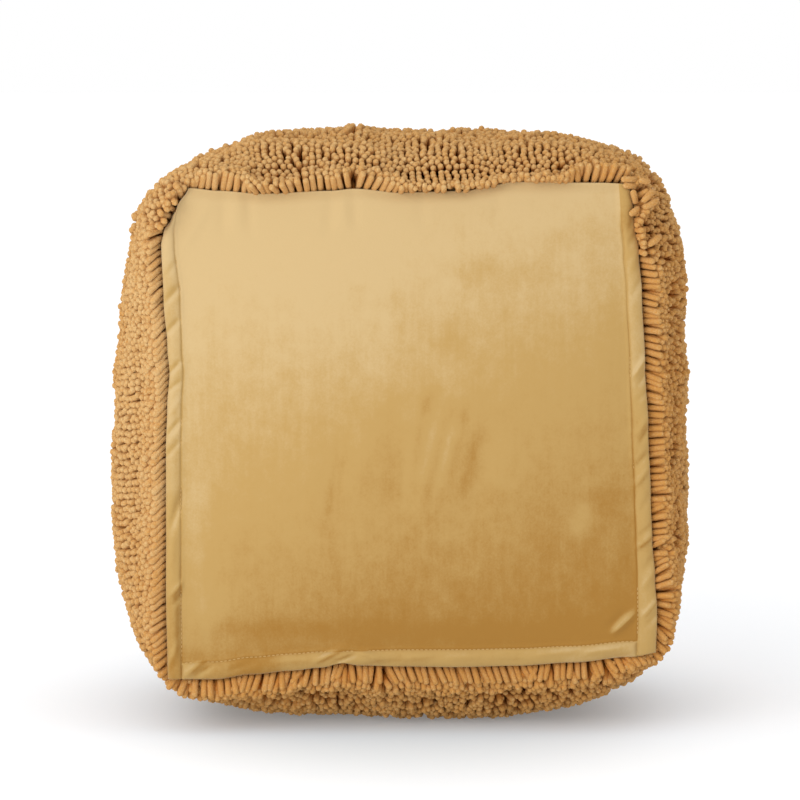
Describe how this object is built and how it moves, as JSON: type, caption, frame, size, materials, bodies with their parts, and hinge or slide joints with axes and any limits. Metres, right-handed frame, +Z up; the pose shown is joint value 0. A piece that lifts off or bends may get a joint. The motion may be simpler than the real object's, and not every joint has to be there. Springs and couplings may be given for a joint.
{
  "type": "square pouf",
  "caption": "Soft square floor pouf covered with chenille fingers, with a plain velvet base panel, standing on one side.",
  "frame": {"origin": "on the floor, below the middle of the whole pouf", "axes": "the pouf stands on one of its four sides: +X across, to the right of a viewer who faces the base panel, +Y from the base panel to the crown, +Z up. A quarter turn about X sets it on its base panel, the way it is sat on"},
  "size_m": [0.5622, 0.3842, 0.5708],
  "materials": {
    "chenille": "matte shag of soft chenille fingers, honey beige",
    "velvet": "short velvet pile with a soft sheen, honey beige"
  },
  "bodies": {
    "root": {"shag_cover": "chenille", "base_panel": "velvet"}
  },
  "joints": []
}
